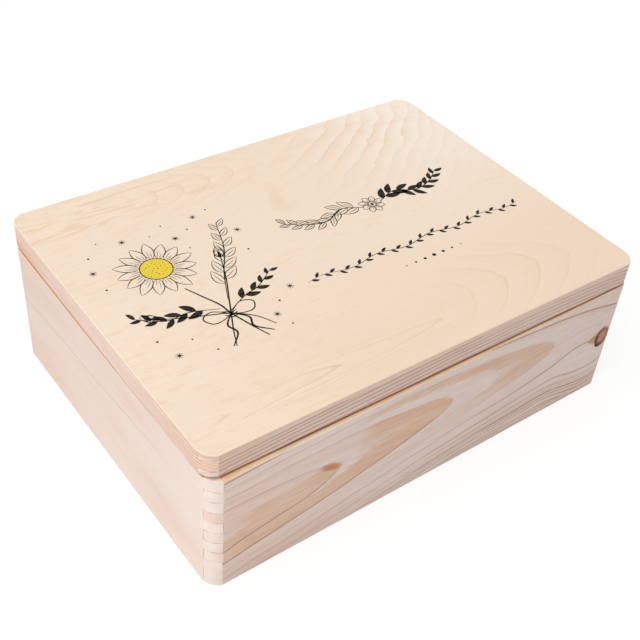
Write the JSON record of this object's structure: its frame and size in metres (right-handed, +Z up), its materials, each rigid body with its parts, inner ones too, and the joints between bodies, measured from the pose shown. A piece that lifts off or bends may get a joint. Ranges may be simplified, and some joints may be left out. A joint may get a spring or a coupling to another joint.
{
  "type": "keepsake box",
  "caption": "Shallow pine keepsake box with finger-jointed, rounded corners, a let-in plywood base and a plywood-topped lid that swings right back on brass butt hinges.",
  "frame": {"origin": "middle of the underside of the box walls' outline, where the box stands", "axes": "+X along the long side towards the right as seen from the front, -Y out of the front, +Z up"},
  "size_m": [0.4034, 0.3063, 0.1335],
  "materials": {
    "pine": "bare pine boards, sanded, with flowing grain lines, warm heartwood patches and a small knot",
    "birch_plywood": "bare birch plywood, sanded, pale with a faint wavy figure; its layers show along the edges",
    "brass": "satin, brass plated"
  },
  "bodies": {
    "box": {"front_wall": "pine", "back_wall": "pine", "left_wall": "pine", "right_wall": "pine", "base_panel": "birch_plywood", "left_hinge_box_leaf": "brass", "right_hinge_box_leaf": "brass", "left_hinge_pin": "brass", "right_hinge_pin": "brass", "box_hinge_screws": "brass"},
    "lid": {"lid_panel": "birch_plywood", "lid_front_rail": "pine", "lid_back_rail": "pine", "lid_left_rail": "pine", "lid_right_rail": "pine", "left_hinge_lid_leaf": "brass", "right_hinge_lid_leaf": "brass", "lid_hinge_screws": "brass"}
  },
  "joints": [
    {"name": "lid_hinge", "type": "hinge", "parent": "box", "child": "lid", "pos_m": [0, 0.1543, 0.112], "axis": [-1, 0, 0], "range_deg": [0, 190]}
  ]
}
